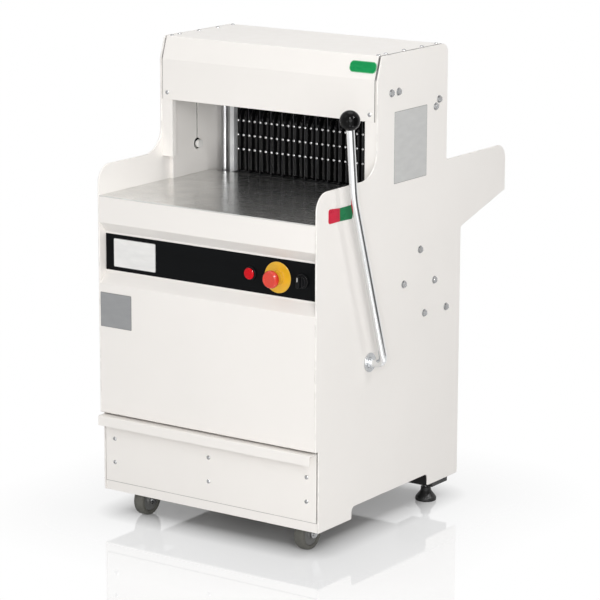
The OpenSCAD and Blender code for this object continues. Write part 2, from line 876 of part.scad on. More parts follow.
// One blade frame: two bars with bored bosses, two uprights and two drive lugs
module blade_frame(plane, rise, rod_x) {
    lug_x = rod_x + rod_t / 2 + 2;
    difference() {
        union() {
            for (z = [low_bar_z + rise, top_bar_z + rise]) {
                block([-column_x, plane - beam_d / 2, z - beam_h / 2],
                    [column_x, plane + beam_d / 2, z + beam_h / 2]);
                both_sides() translate([column_x, plane, z - boss_h / 2]) cylinder(r = boss_r, h = boss_h);
            }
            both_sides() block([frame_x - 6, plane - beam_d / 2, low_bar_z + rise],
                [frame_x + 6, plane + beam_d / 2, top_bar_z + rise]);
            both_sides() block([lug_x, plane - lug_half, low_bar_z + rise - beam_h / 2 - rod_drop - eye_r],
                [lug_x + lug_t, plane + lug_half, low_bar_z + rise - beam_h / 2]);
        }
        both_sides() translate([column_x, plane, low_shelf_z])
            cylinder(r = column_d / 2 + run, h = top_shelf_z - low_shelf_z);
    }
}

// Scalloped blades of one frame: every second one, from the given first index
module blade_set(plane, rise, first) {
    low = low_bar_z + rise + beam_h / 2;
    high = top_bar_z + rise - beam_h / 2;
    teeth = floor((high - low) / scallop);
    depth = 2.5;
    edge = plane + blade_w / 2;
    spine = [[plane - blade_w / 2, high], [plane - blade_w / 2, low], [edge - depth, low]];
    wave = [for (k = [0 : teeth - 1], s = [0 : 3])
        [edge - depth * pow(cos(45 * s), 2), low + (k + s / 4) * scallop]];
    for (i = [first : 2 : blade_count - 1])
        along_x(i * slice - blade_field - blade_t / 2, i * slice - blade_field + blade_t / 2)
            polygon(concat(spine, [for (k = [1 : len(wave) - 1]) wave[k]], [[edge - depth, high]]));
}

module blade_frame_a() {
    color("silver") place() blade_frame(plane_a, throw, rod_x_a);
}

module blades_a() {
    color("gainsboro") place() blade_set(plane_a, throw, 0);
}

module blade_frame_b() {
    color("silver") place() blade_frame(plane_b, -throw, rod_x_b);
}

module blades_b() {
    color("gainsboro") place() blade_set(plane_b, -throw, 1);
}

// Crankshaft with two pairs of opposed eccentrics
module crankshaft() {
    color("silver") place() {
        bar_x(slip - wall_x, wall_x - slip, shaft_d / 2, [crank_y, crank_z]);
        both_sides() {
            bar_x(rod_x_a - rod_t / 2, rod_x_a + rod_t / 2, eccentric_r, [crank_y, crank_z + throw]);
            bar_x(rod_x_b - rod_t / 2, rod_x_b + rod_t / 2, eccentric_r, [crank_y, crank_z - throw]);
        }
    }
}

// Grooved pulley profile revolved about x
module grooved_pulley(r, bore) {
    rim = r + groove_h;
    rotate([0, 90, 0]) rotate_extrude() polygon([
        [bore, -pulley_w / 2], [rim, -pulley_w / 2], [rim, -groove_w / 2 - 1.5], [r, -groove_w / 2],
        [r, groove_w / 2], [rim, groove_w / 2 + 1.5], [rim, pulley_w / 2], [bore, pulley_w / 2]
    ]);
}

module large_pulley() {
    hole_r = 18;
    color("darkgray") place() translate([pulley_x, crank_y, crank_z]) difference() {
        grooved_pulley(pulley_r, shaft_d / 2 + run);
        for (a = [0 : 72 : 359])
            rotate([a, 0, 0]) bar_x(-pulley_w, pulley_w, hole_r, [0, 50]);
    }
}

// One pair of connecting rods: ring on the eccentric, shank, eye and pin stub
module conrods(plane, rise, rod_x) {
    ring_r = eccentric_r + 10;
    big = [crank_y, crank_z + rise];
    eye = [plane, low_bar_z + rise - beam_h / 2 - rod_drop];
    run_v = eye - big;
    both_sides() {
        along_x(rod_x - rod_t / 2, rod_x + rod_t / 2) difference() {
            union() {
                translate(big) circle(r = ring_r);
                translate(eye) circle(r = eye_r);
                translate(big) rotate(atan2(run_v[1], run_v[0]))
                    translate([0, -8]) square([norm(run_v), 16]);
            }
            translate(big) circle(r = eccentric_r + run);
        }
        bar_x(rod_x + rod_t / 2, rod_x + rod_t / 2 + 1.7, pin_r, eye);
    }
}

module conrods_a() {
    color("darkgray") place() conrods(plane_a, throw, rod_x_a);
}

module conrods_b() {
    color("darkgray") place() conrods(plane_b, -throw, rod_x_b);
}

// Motor shaft with the small pulley
module motor_rotor() {
    color("darkgray") place() {
        bar_x(pulley_x - pulley_w / 2 - 2, motor_x[0] + 29, motor_shaft_r, [motor_y, motor_z]);
        translate([pulley_x, motor_y, motor_z]) grooved_pulley(drive_r, motor_shaft_r);
    }
}

// Open crumb tray
module crumb_tray() {
    low = pan_z + slip;
    back = cabinet_d - crumb_gap;
    color("silver") place() difference() {
        block([-crumb_x, drawer_y, low], [crumb_x, back, crumb_top]);
        block([sheet_t - crumb_x, drawer_y + sheet_t, low + sheet_t],
            [crumb_x - sheet_t, back - sheet_t, crumb_top + 1]);
    }
}

// Drawer front with its folded pull lip
module drawer_front() {
    path = [[-lip_out, lip_z - 23], [-lip_out, lip_z], [drawer_y, lip_z], [drawer_y, drawer_low]];
    front_x = wall_x - drawer_gap;
    color("white") place() along_x(-front_x, front_x) polygon(folded(bent(path)));
}

module drawer_screws() {
    screw_x = crumb_x - 12;
    color("silver") place() for (x = [-screw_x, 0, screw_x], z = [drawer_low + 46, drawer_low + 102])
        bar_y(drawer_y - sheet_t - 2.5, drawer_y - sheet_t, 5, [x, z]);
}

// Swivelling fork with its axle bolt, at the caster on side s (-1 left, 1 right)
module caster_fork(s) {
    top = arch_z - caster_plate_t - slip;
    axle_y = -trail;
    color("silver") place() translate([s * caster_x, caster_y, 0]) {
        difference() {
            translate([0, 0, crown_z]) cylinder(r = 22, h = top - crown_z);
            translate([0, 0, crown_z - 1]) cylinder(r = kingpin_r + run, h = 20);
        }
        both_sides() along_x(fork_x, fork_x + fork_t) polygon(outline([
            [axle_y - 12, wheel_r - 10, 8], [axle_y + 12, wheel_r - 10, 8],
            [18, crown_z + 3, 4], [-20, crown_z + 3, 4]
        ], 4));
        both_sides() block([fork_x, -18, crown_z], [fork_x + fork_t, 16, crown_z + 4]);
        bar_x(-fork_x - fork_t - 3, fork_x + fork_t + 3, axle_r, [axle_y, wheel_r]);
    }
}

// Wheel with a rounded tread and a hub on each side
module caster_wheel(s) {
    half = wheel_w / 2;
    color("gray") place() translate([s * caster_x, caster_y - trail, wheel_r]) rotate([0, 90, 0])
        rotate_extrude() polygon(outline([
            [axle_r + run, -half - 1, 0], [12, -half - 1, 0], [14, -half + 3, 0],
            [wheel_r - 11, -half + 3, 0], [wheel_r - 9, -half, 0], [wheel_r, -half, 5],
            [wheel_r, half, 5], [wheel_r - 9, half, 0], [wheel_r - 11, half - 3, 0],
            [14, half - 3, 0], [12, half + 1, 0], [axle_r + run, half + 1, 0]
        ], 5));
}

module left_caster_fork() {
    caster_fork(-1);
}

module left_caster_wheel() {
    caster_wheel(-1);
}

module right_caster_fork() {
    caster_fork(1);
}

module right_caster_wheel() {
    caster_wheel(1);
}

left_side_panel();
right_side_panel();
top_hood();
head_frame();
cover_screws();
wall_liners();
liner_knobs();
column_brackets();
guide_columns();
drive_brackets();
side_bolts();
front_panel();
control_strip();
bare_plates();
green_plates();
red_zone_plate();
control_bezels();
lamp_lens();
stop_collar();
front_table();
blade_bridge();
rear_tray();
rear_panel();
base_pan();
motor_shelf();
motor_body();
drive_belt();
lever_bushes();
bar_guides();
foot_brackets();
foot_stems();
foot_pads();
caster_plates();
stop_head();
selector_knob();
lever_rod();
lever_knob();
cross_shaft();
lever_arms();
pusher_fingers();
finger_studs();
pusher_frame();
pusher_bars();
blade_frame_a();
blades_a();
blade_frame_b();
blades_b();
crankshaft();
large_pulley();
conrods_a();
conrods_b();
motor_rotor();
crumb_tray();
drawer_front();
drawer_screws();
left_caster_fork();
left_caster_wheel();
right_caster_fork();
right_caster_wheel();
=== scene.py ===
import json
import math

import bmesh
import bpy
from mathutils import Matrix, Vector

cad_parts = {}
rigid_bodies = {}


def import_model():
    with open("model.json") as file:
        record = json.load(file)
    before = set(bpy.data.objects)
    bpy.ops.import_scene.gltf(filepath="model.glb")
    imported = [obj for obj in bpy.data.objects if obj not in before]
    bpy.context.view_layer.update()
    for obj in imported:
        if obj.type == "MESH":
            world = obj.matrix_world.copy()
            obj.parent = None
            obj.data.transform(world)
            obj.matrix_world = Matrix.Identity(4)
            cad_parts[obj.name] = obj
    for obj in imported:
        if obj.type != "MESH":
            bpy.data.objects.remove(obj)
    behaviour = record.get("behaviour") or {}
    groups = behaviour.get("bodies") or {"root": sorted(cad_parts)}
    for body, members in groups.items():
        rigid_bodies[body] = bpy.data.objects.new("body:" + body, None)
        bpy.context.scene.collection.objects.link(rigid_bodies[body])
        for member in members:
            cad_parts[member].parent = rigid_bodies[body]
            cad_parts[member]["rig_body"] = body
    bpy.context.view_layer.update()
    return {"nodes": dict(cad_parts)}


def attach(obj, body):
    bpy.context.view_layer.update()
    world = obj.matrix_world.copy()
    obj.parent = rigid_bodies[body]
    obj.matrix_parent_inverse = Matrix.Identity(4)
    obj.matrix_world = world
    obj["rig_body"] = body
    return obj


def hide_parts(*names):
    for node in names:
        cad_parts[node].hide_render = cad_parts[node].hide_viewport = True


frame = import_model()

# Side panels: a 4 mm steel plate on each side, laser cut in one piece with its legs, wings and head.
# The arrises are broken by hand, and the plate is powder coated in a warm white with a fine orange peel.


class Signal:
    """A node's output that can stand in a Python expression."""

    def __init__(self, bench, socket):
        self.bench = bench
        self.socket = socket

    def out(self, label):
        return Signal(self.bench, self.socket.node.outputs[label])

    def maths(self, operation, first, second):
        return self.bench.node("ShaderNodeMath", {"operation": operation}, {0: first, 1: second})

    def __add__(self, other):
        return self.maths("ADD", self, other)

    def __sub__(self, other):
        return self.maths("SUBTRACT", self, other)

    def __rsub__(self, other):
        return self.maths("SUBTRACT", other, self)

    def __mul__(self, other):
        return self.maths("MULTIPLY", self, other)

    __radd__ = __add__
    __rmul__ = __mul__


class Bench:
    """A node tree and the one method that adds a node to it."""

    def __init__(self, tree):
        self.tree = tree

    def node(self, kind, settings=None, sockets=None, output=0):
        made = self.tree.nodes.new(kind)
        for label, value in (settings or {}).items():
            setattr(made, label, value)
        for label, value in (sockets or {}).items():
            for item in value if isinstance(value, list) else [value]:
                if isinstance(item, Signal):
                    self.tree.links.new(item.socket, made.inputs[label])
                else:
                    made.inputs[label].default_value = item
        return Signal(self, made.outputs[output]) if made.outputs else made


class Finish(Bench):
    """A surface finish: a Principled shader, its constants and what is fed to it."""

    def __init__(self, name, constants=None):
        self.material = bpy.data.materials.new(name)
        self.material.use_nodes = True
        super().__init__(self.material.node_tree)
        self.shader = self.tree.nodes["Principled BSDF"]
        for label, value in (constants or {}).items():
            self.shader.inputs[label].default_value = value

    def place(self):
        return self.node("ShaderNodeTexCoord", output="Object")

    def grain(self, scale, detail=3.0, stretch=(1, 1, 1)):
        turned = self.node("ShaderNodeMapping", None, {"Vector": self.place(), "Scale": stretch})
        return self.node("ShaderNodeTexNoise", None, {"Vector": turned, "Scale": scale, "Detail": detail})

    def span(self, signal, low, high, start=0.0, end=1.0):
        ends = {"Value": signal, "From Min": low, "From Max": high, "To Min": start, "To Max": end}
        return self.node("ShaderNodeMapRange", None, ends)

    def tint(self, share, first, second):
        return self.node("ShaderNodeMix", {"data_type": "RGBA"}, {0: share, 6: first, 7: second}, 2)

    def worn(self):
        return self.node("ShaderNodeAttribute", {"attribute_name": "edge"}, None, "Fac")

    def feed(self, label, signal):
        self.tree.links.new(signal.socket, self.shader.inputs[label])

    def relief(self, height, strength, distance):
        sockets = {"Height": height, "Strength": strength, "Distance": distance}
        self.feed("Normal", self.node("ShaderNodeBump", None, sockets))


def shade(colour, factor):
    return (colour[0] * factor, colour[1] * factor, colour[2] * factor, 1.0)


def powder_coat(name, colour, seam_shade=None):
    """Coated sheet; a seam shade is an axis, a middle and two distances from it, past which the colour fades
    to a painted shade that stands in for the shadow in a seam.
    """
    coat = Finish(name, {"Specular IOR Level": 0.42})
    clouds = coat.grain(3.5, 2.0)
    handled = coat.grain(38.0, 5.0)
    peel = coat.grain(620.0, 2.0)
    rubbed = coat.worn() * coat.span(handled, 0.48, 0.6)
    base = coat.tint(coat.span(clouds, 0.3, 0.7), shade(colour, 0.975), shade(colour, 1.0))
    base = coat.tint(rubbed * 0.45, base, shade(colour, 0.7))
    if seam_shade:
        axis, middle, shade_from, shade_full = seam_shade
        along = coat.node("ShaderNodeSeparateXYZ", None, {"Vector": coat.place()}, axis) - middle
        along = along.maths("ABSOLUTE", along, 0.0)
        # Painted shade: past the first distance the coat darkens to a third of its colour, as the shadow line
        # in a gap.
        base = coat.tint(coat.span(along, shade_from, shade_full), base, shade(colour, 0.3))
    coat.feed("Base Color", base)
    coat.feed("Roughness", 0.34 + 0.16 * coat.span(handled, 0.35, 0.7))
    coat.relief(peel + 0.4 * handled, 0.05, 0.0005)
    return coat.material


def new_piece(name, mesh, *materials):
    for material in materials:
        mesh.materials.append(material)
    piece = bpy.data.objects.new(name, mesh)
    bpy.context.scene.collection.objects.link(piece)
    return piece


def stands_for(piece, node):
    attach(piece, frame["nodes"][node]["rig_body"])
    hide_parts(node)
    return piece


def smooth(mesh, turn=26):
    mesh.shade_smooth()
    mesh.set_sharp_from_angle(angle=math.radians(turn))
    return mesh


def applied(piece, modifier):
    """The piece with what its modifier makes of it as its own mesh."""
    seen = piece.evaluated_get(bpy.context.evaluated_depsgraph_get())
    piece.data = bpy.data.meshes.new_from_object(seen)
    piece.modifiers.remove(modifier)
    return piece


def settled(piece):
    """Normals weighted by area, so that a flat face stays flat beside its broken arrises."""
    weighing = piece.modifiers.new("weighing", "WEIGHTED_NORMAL")
    weighing.weight = 95
    weighing.keep_sharp = True
    return applied(piece, weighing)


def mesh_of(name, shape):
    """Turns a finished bmesh into a mesh."""
    mesh = bpy.data.meshes.new(name)
    shape.to_mesh(mesh)
    shape.free()
    return mesh


def edged(node, width, material, rings=2):
    """The CAD node's own shape with its arrises broken; the broken faces carry the edge attribute."""
    same_place, same_plane, hard = 2e-6, 0.002, math.radians(34)
    name = node + "_edged"
    shape = bmesh.new()
    shape.from_mesh(frame["nodes"][node].data)
    bmesh.ops.remove_doubles(shape, verts=shape.verts, dist=same_place)
    bmesh.ops.dissolve_limit(shape, angle_limit=same_plane, verts=shape.verts, edges=shape.edges)
    edge = shape.faces.layers.float.new("edge")
    arrises = [e for e in shape.edges if len(e.link_faces) == 2 and e.calc_face_angle() > hard]
    made = bmesh.ops.bevel(shape, geom=arrises, offset=width, offset_type="OFFSET", segments=rings,
                           profile=0.5, affect="EDGES", clamp_overlap=False)
    for face in made["faces"]:
        face[edge] = 1.0
    return stands_for(settled(new_piece(name, smooth(mesh_of(name, shape)), material)), node)


white = (0.88, 0.85, 0.815)
white_coat = powder_coat("warm_white_powder_coat", white)
panel_arris = 0.0016
for panel in ("left_side_panel", "right_side_panel"):
    edged(panel, panel_arris, white_coat, 3)

# Covers: hood, posts, liners, front, rear and base of 2 mm steel sheet, folded on a press brake and coated
# like the panels. The hood is screwed to angle rails between the two heads. A painted shade darkens the seams
# at both its ends and the one between the base and the drawer, standing in for the shadow lines there.
fold_arris = 0.0006
for sheet in ("head_frame", "wall_liners", "front_panel", "rear_panel"):
    edged(sheet, fold_arris, white_coat)
cabinet_middle = -28.75
# Painted seam shade: a strip at each end of the hood and a band on the base just under the drawer front are
# darkened as shadow lines.
hood_seam_shade = ("X", cabinet_middle / 1000, 0.2912, 0.2918)
pan_seam_shade = ("Z", 0.0, 0.0862, 0.0868)
edged("top_hood", fold_arris, powder_coat("white_coat_with_side_seams", white, hood_seam_shade))
edged("base_pan", fold_arris, powder_coat("white_coat_with_drawer_seam", white, pan_seam_shade))

# Liner knobs and bar guides: turned and milled from white acetal, left as machined.
# The knobs sit in the liners' keyholes, and the guides carry the pusher's bars.


def moulded(name, colour, roughness, coat=0.0, gloss=0.4, wear=0.1, rub=0.25):
    plastic = Finish(name, {"Specular IOR Level": gloss, "Coat Roughness": 0.06})
    flow = plastic.grain(60.0, 3.0)
    fine = plastic.grain(1400.0, 1.0)
    tone = plastic.tint(plastic.span(flow, 0.3, 0.7), shade(colour, 0.9), shade(colour, 1.0))
    plastic.feed("Base Color", plastic.tint(plastic.worn() * rub * flow, tone, (0.35, 0.35, 0.34, 1.0)))
    plastic.feed("Roughness", roughness + wear * plastic.span(flow, 0.4, 0.7))
    if coat:
        plastic.feed("Coat Weight", coat - 0.2 * plastic.span(flow, 0.5, 0.8))
    plastic.relief(fine, 0.03, 0.0002)
    return plastic.material


acetal = moulded("white_acetal", (0.83, 0.82, 0.79), 0.4)
machined_arris = 0.0006
for turned in ("liner_knobs", "bar_guides"):
    edged(turned, machined_arris, acetal)

# Cover screws: zinc-plated pan heads with a cross recess, which hold the hood and the rear cover.
# Each is a domed head on a flat seat; every cross was left at its own angle.


class Build(Bench):
    """A Geometry Nodes tree with named inputs, from points or a first piece to a finished mesh."""

    def __init__(self, name, inputs):
        group = bpy.data.node_groups.new(name, "GeometryNodeTree")
        super().__init__(group)
        group.interface.new_socket("Geometry", in_out="INPUT", socket_type="NodeSocketGeometry")
        self.labels = {}
        for label, kind in {**inputs, "Material": "NodeSocketMaterial"}.items():
            made = group.interface.new_socket(label, in_out="INPUT", socket_type=kind)
            self.labels[label] = made.identifier
        group.interface.new_socket("Geometry", in_out="OUTPUT", socket_type="NodeSocketGeometry")
        self.given = self.node("NodeGroupInput")

    def size(self, label):
        return self.given.out(label)

    def vector(self, x, y, z):
        return self.node("ShaderNodeCombineXYZ", None, {"X": x, "Y": y, "Z": z})

    def moved(self, shape, sockets):
        return self.node("GeometryNodeTransform", None, {"Geometry": shape, **sockets})

    def cut(self, operation, first, others):
        if operation == "DIFFERENCE":
            sockets = {"Mesh 1": first, "Mesh 2": others}
        else:
            sockets = {"Mesh 2": [first, *others]}
        return self.node("GeometryNodeMeshBoolean", {"operation": operation, "solver": "EXACT"}, sockets)

    def on_points(self, shape, turn=None):
        facing = {"data_type": "FLOAT_VECTOR"}
        facing = self.node("GeometryNodeInputNamedAttribute", facing, {"Name": "facing"})
        facing = self.node("FunctionNodeAlignRotationToVector", {"axis": "Z"}, {"Vector": facing})
        sockets = {"Points": self.given, "Instance": shape, "Rotation": facing}
        rows = self.node("GeometryNodeInstanceOnPoints", None, sockets)
        if turn is not None:
            rows = self.node("GeometryNodeRotateInstances", None, {"Instances": rows, "Rotation": turn})
        return rows

    def finish(self, shape):
        shape = self.node("GeometryNodeRealizeInstances", None, {"Geometry": shape})
        painted = {"Geometry": shape, "Material": self.size("Material")}
        shape = self.node("GeometryNodeSetMaterial", None, painted)
        self.node("NodeGroupOutput", None, {"Geometry": shape})

    def piece(self, name, mesh, values):
        """Runs the tree on the mesh and returns the result as a plain piece."""
        piece = new_piece(name, mesh)
        modifier = piece.modifiers.new("build", "NODES")
        modifier.node_group = self.tree
        for label, value in values.items():
            modifier[self.labels[label]] = value
        smooth(applied(piece, modifier).data)
        return piece


front_face = -389.0


def spot(x, y, z):
    """Millimetres from the cabinet's middle, front face and floor, as metres in the part's frame."""
    return Vector((x + cabinet_middle, y + front_face, z)) / 1000


def points(name, places):
    """A mesh of single points, each with the way its fastener faces."""
    mesh = bpy.data.meshes.new(name)
    mesh.from_pydata([spot(*place) for place, facing in places], [], [])
    facing = mesh.attributes.new("facing", "FLOAT_VECTOR", "POINT")
    facing.data.foreach_set("vector", [x for place, way in places for x in way])
    return mesh


def plated(name, colour, roughness, dull=0.14):
    metal = Finish(name, {"Metallic": 1.0})
    spangle = metal.grain(220.0, 3.0)
    smear = metal.grain(30.0, 4.0)
    faded = shade(colour, 1.0 - 1.3 * dull)
    metal.feed("Base Color", metal.tint(metal.span(smear, 0.35, 0.65), faded, shade(colour, 1.0)))
    metal.feed("Roughness", roughness + dull * metal.span(spangle, 0.35, 0.7))
    metal.relief(spangle, 0.04, 0.0002)
    return metal.material


zinc = plated("bright_zinc_plating", (0.44, 0.445, 0.45), 0.18)
length = "NodeSocketFloat"
screw_inputs = ("Radius", "Height", "Recess")
pan_head = Build("pan_head_screws", dict.fromkeys(screw_inputs, length))
radius, height, recess = (pan_head.size(label) for label in screw_inputs)
dome = pan_head.node("GeometryNodeMeshUVSphere", None, {"Segments": 20, "Rings": 12, "Radius": 1.0})
dome = pan_head.moved(dome, {"Scale": pan_head.vector(radius, radius, height)})
seat = pan_head.vector(4 * radius, 4 * radius, 2 * height)
seat = pan_head.node("GeometryNodeMeshCube", None, {"Size": seat})
seat = pan_head.moved(seat, {"Translation": pan_head.vector(0.0, 0.0, 0 - height)})
recess_cuts = [seat]
bar_share, quarter_turn = 0.36, 1.57
for long, wide in ((1.0, bar_share), (bar_share, 1.0)):
    bar = pan_head.vector(2 * long * recess, 2 * wide * recess, height)
    bar = pan_head.node("GeometryNodeMeshCube", None, {"Size": bar})
    recess_cuts.append(pan_head.moved(bar, {"Translation": pan_head.vector(0.0, 0.0, 0.95 * height)}))
left_at = pan_head.node("FunctionNodeRandomValue", {"data_type": "FLOAT"}, None, 1)
head = pan_head.cut("DIFFERENCE", dome, recess_cuts)
pan_head.finish(pan_head.on_points(head, pan_head.vector(0.0, 0.0, quarter_turn * left_at)))

screw_sizes = {"Radius": 0.005, "Height": 0.0025, "Recess": 0.0027, "Material": zinc}
to_right, forward, to_rear, upwards = (1, 0, 0), (0, -1, 0), (0, 1, 0), (0, 0, 1)
flange_x, rail_x, brow_screw_z = 279, 284, 967
hood_front, hood_deep, hood_top = 235, 293, 1096
rear_face, rear_low, rear_high = 596, 93, 667
cover_places = []
for side in (-1, 1):
    cover_places.append(((flange_x * side, hood_front, brow_screw_z), forward))
    for share in (0.09, 0.19, 0.445, 0.7, 0.905):
        cover_places.append(((rail_x * side, hood_front + hood_deep * share, hood_top), upwards))
    for share in (0.055, 0.46, 0.865):
        cover_places.append(((flange_x * side, rear_face, rear_low + rear_high * share), to_rear))
cover_points = points("cover_screws", cover_places)
stands_for(pan_head.piece("cover_screw_heads", cover_points, screw_sizes), "cover_screws")

# Side bolts: M8 hexagon bolts on plain washers, bright zinc, through each panel into the brackets behind.
# Two pairs hold the upper bracket and five hold the drive bracket.
bolt_inputs = ("Corner", "Height", "Washer", "Washer height")
hexagon = Build("hexagon_bolts", dict.fromkeys(bolt_inputs, length))
corner, height, washer, under = (hexagon.size(label) for label in bolt_inputs)
crown_spread, crown_rise = 1.16, 1.75
prism = {"Vertices": 6, "Radius": corner, "Depth": height}
prism = hexagon.node("GeometryNodeMeshCylinder", {"fill_type": "NGON"}, prism)
prism = hexagon.moved(prism, {"Translation": hexagon.vector(0.0, 0.0, under + 0.5 * height)})
cap = hexagon.node("GeometryNodeMeshUVSphere", None, {"Segments": 32, "Rings": 24, "Radius": 1.0})
cap_size = hexagon.vector(crown_spread * corner, crown_spread * corner, crown_rise * (under + height))
cap = hexagon.moved(cap, {"Scale": cap_size})
crown = hexagon.cut("INTERSECT", prism, [cap])
ring = {"Vertices": 28, "Radius": washer, "Depth": under}
ring = hexagon.node("GeometryNodeMeshCylinder", {"fill_type": "NGON"}, ring)
ring = hexagon.moved(ring, {"Translation": hexagon.vector(0.0, 0.0, 0.5 * under)})
bolt = hexagon.node("GeometryNodeJoinGeometry", None, {"Geometry": [crown, ring]})
hexagon.finish(hexagon.on_points(bolt))

panel_face = 300
upper_bolts = [(291, 1010), (320, 1010), (491, 972), (477, 957)]
drive_bolts = [(418, 636), (350, 567), (481, 554), (439, 484), (533, 481)]
bolt_rows = upper_bolts + drive_bolts
bolt_places = [((panel_face * side, y, z), (side, 0, 0)) for side in (-1, 1) for y, z in bolt_rows]
bolt_sizes = {"Corner": 0.0072, "Height": 0.0038, "Washer": 0.0088, "Washer height": 0.0012, "Material": zinc}
stands_for(hexagon.piece("side_bolt_heads", points("side_bolts", bolt_places), bolt_sizes), "side_bolts")

# Brackets and columns: plate brackets bolted to the panels, with shelves over and under four ground columns.
# The lower ones are grey iron with a boss for the crankshaft; only the columns show through the mouth.


def ground(name, colour, roughness, stretch, metallic=1.0):
    metal = Finish(name, {"Metallic": metallic})
    strokes = metal.grain(9.0, 3.0, stretch)
    stain = metal.grain(22.0, 4.0)
    tone = metal.tint(metal.span(stain, 0.35, 0.7), shade(colour, 0.86), shade(colour, 1.0))
    metal.feed("Base Color", tone)
    metal.feed("Roughness", roughness + 0.16 * metal.span(strokes, 0.3, 0.7))
    metal.relief(strokes, 0.05, 0.0002)
    return metal.material


def cast(name, colour):
    iron = Finish(name, {"Metallic": 0.75})
    sand = iron.grain(420.0, 4.0)
    stain = iron.grain(18.0, 4.0)
    tone = iron.tint(iron.span(stain, 0.35, 0.7), shade(colour, 0.7), shade(colour, 1.0))
    iron.feed("Base Color", iron.tint(iron.worn() * 0.6, tone, (0.5, 0.5, 0.51, 1.0)))
    iron.feed("Roughness", 0.5 + 0.2 * sand)
    iron.relief(sand, 0.3, 0.0006)
    return iron.material


def dressed(material, *nodes):
    """A CAD node whose shape is right keeps it and takes the finish."""
    for node in nodes:
        mesh = frame["nodes"][node].data
        mesh.materials.clear()
        mesh.materials.append(material)


column_steel = ground("ground_column_steel", (0.46, 0.465, 0.47), 0.26, (40, 40, 1))
iron = cast("grey_iron", (0.17, 0.175, 0.185))
cast_arris = 0.0008
edged("column_brackets", machined_arris, column_steel)
edged("drive_brackets", cast_arris, iron)
dressed(column_steel, "guide_columns")

# Control strip: a black enamelled plate on the floor of the front cover's channel.
# Its edges are cut square and just broken, and its face has a fine satin grain.


def film(name, colour, roughness, metallic=0.0, gloss=0.3):
    sheet = Finish(name, {"Specular IOR Level": gloss, "Metallic": metallic})
    fine = sheet.grain(900.0, 2.0)
    wiped = sheet.grain(26.0, 4.0, (1, 1, 3))
    tone = sheet.tint(sheet.span(wiped, 0.35, 0.7), shade(colour, 0.92), shade(colour, 1.0))
    sheet.feed("Base Color", tone)
    sheet.feed("Roughness", roughness + 0.14 * sheet.span(wiped, 0.3, 0.7))
    sheet.relief(fine, 0.03, 0.0002)
    return sheet.material


fine_arris = 0.0003
strip_enamel = film("black_strip_enamel", (0.0045, 0.005, 0.0055), 0.3, gloss=0.045)
edged("control_strip", fine_arris, strip_enamel)

# Controls: a red pilot lamp in a black bezel, a red mushroom stop on a yellow plate and collar,
# and a black selector with a white index line; each barrel is nutted behind the strip.
control_z = 627.5
strip_y = 22.5


def lathe(name, profile, centre, axis, *materials, sides=48, bands=None):
    """A turned shape: [radius, height] points in millimetres about an axis through the centre."""
    shape = bmesh.new()
    turn = Vector((0, 0, 1)).rotation_difference(Vector(axis)).to_matrix()
    rings = []
    for r, h in profile:
        if r == 0:
            rings.append([shape.verts.new(centre + turn @ Vector((0, 0, h / 1000)))])
            continue
        steps = [2 * math.pi * k / sides for k in range(sides)]
        ring = [Vector((r * math.cos(a), r * math.sin(a), h)) / 1000 for a in steps]
        rings.append([shape.verts.new(centre + turn @ place) for place in ring])
    for row, (low, high) in enumerate(zip(rings, rings[1:])):
        for k in range(sides):
            near = [low[k % len(low)], low[(k + 1) % len(low)],
                    high[(k + 1) % len(high)], high[k % len(high)]]
            face = shape.faces.new(list(dict.fromkeys(near)))
            face.material_index = bands[row] if bands else 0
    bmesh.ops.recalc_face_normals(shape, faces=shape.faces)
    return new_piece(name, smooth(mesh_of(name, shape)), *materials)


def rounded(profile, reach, steps=5):
    """The profile with each inner corner turned into an arc that starts reach before it."""
    path = [Vector(p) for p in profile]
    out = [path[0]]
    for a, b, c in zip(path, path[1:], path[2:]):
        cut = min(reach, (a - b).length / 2, (c - b).length / 2)
        start = b + (a - b).normalized() * cut
        end = b + (c - b).normalized() * cut
        for k in range(steps + 1):
            t = k / steps
            out.append(start.lerp(b, t).lerp(b.lerp(end, t), t))
    return [tuple(p) for p in [*out, path[-1]]]


lens_constants = {"Roughness": 0.16, "IOR": 1.5, "Specular IOR Level": 0.1, "Emission Strength": 0.35}
lamp_red = Finish("red_lamp_lens", lens_constants)
facets = lamp_red.grain(520.0, 1.0)
lamp_red.feed("Base Color", lamp_red.tint(facets, (0.36, 0.003, 0.006, 1.0), (0.6, 0.006, 0.014, 1.0)))
lamp_red.feed("Emission Color", lamp_red.tint(facets, (0.2, 0.0, 0.002, 1.0), (0.36, 0.004, 0.01, 1.0)))
lamp_red.relief(facets, 0.08, 0.0004)
control_black = moulded("black_control_plastic", (0.007, 0.007, 0.008), 0.28, gloss=0.1, rub=0.05)
stop_red = moulded("red_stop_plastic", (0.7, 0.04, 0.018), 0.2, 0.5, gloss=0.3)
stop_yellow = moulded("yellow_collar_plastic", (0.78, 0.44, 0.02), 0.3, 0.2)

bezel_arris, collar_arris, grip_arris = 0.0012, 0.0007, 0.001
lamp_x, stop_x, selector_x = 110, 183, 249
edged("control_bezels", bezel_arris, control_black, 3)
lens = [(10.7, 6.3), (12.9, 6.3), (12.9, 7.6), (10.4, 9.8), (5.2, 10.8), (0, 11)]
lens = [(0, 0), (10.7, 0), *rounded(lens, 1.2)]
lens = lathe("pilot_lamp_lens", lens, spot(lamp_x, strip_y, control_z), forward, lamp_red.material)
stands_for(lens, "lamp_lens")
edged("stop_collar", collar_arris, stop_yellow, 3)
mushroom = [(9, 0), (16.6, 0), (20, 4.4), (20, 9.6), (17.4, 14.4), (15, 15), (12.4, 14.1), (0, 14.1)]
mushroom = [(0, -16), (9, -16), *rounded(mushroom, 2.4)]
mushroom = lathe("stop_mushroom", mushroom, spot(stop_x, 3, control_z), forward, stop_red)
stands_for(mushroom, "stop_head")
edged("selector_knob", grip_arris, control_black, 3)

